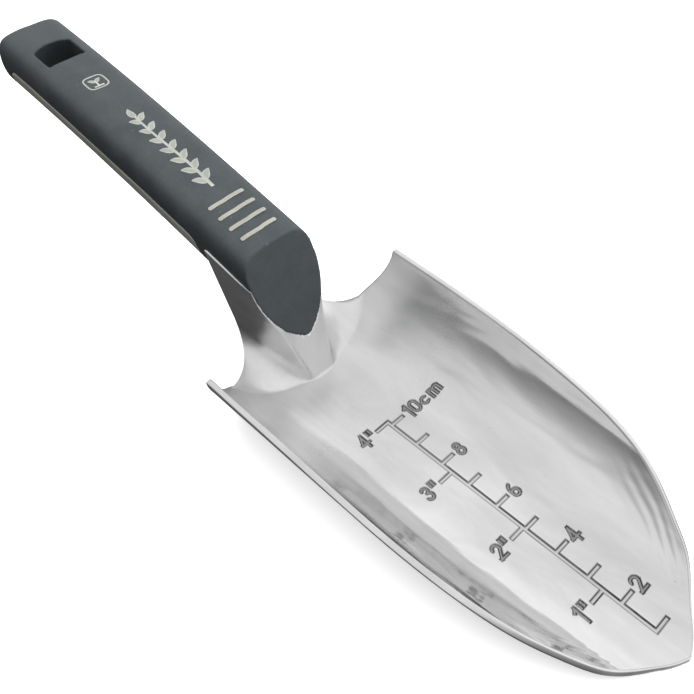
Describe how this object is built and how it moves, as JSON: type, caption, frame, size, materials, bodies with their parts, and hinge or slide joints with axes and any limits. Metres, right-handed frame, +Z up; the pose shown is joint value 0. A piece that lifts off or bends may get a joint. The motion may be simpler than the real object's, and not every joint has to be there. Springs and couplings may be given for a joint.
{
  "type": "hand trowel",
  "caption": "Hand trowel with a trough-shaped cast blade, an engraved depth scale, a raised neck and a two-part moulded handle with a hanging hole.",
  "frame": {"origin": "under the middle of the overall length, on the plane the blade's flat rests on", "axes": "+X to the blade's point, +Z up out of the blade's hollow side, +Y across"},
  "size_m": [0.2818, 0.0794, 0.0701],
  "materials": {
    "cast_aluminium": "polished",
    "core_plastic": "satin",
    "grip_rubber": "satin"
  },
  "bodies": {
    "root": {"blade_casting": "cast_aluminium", "handle_core": "core_plastic", "soft_grip": "grip_rubber"}
  },
  "joints": []
}
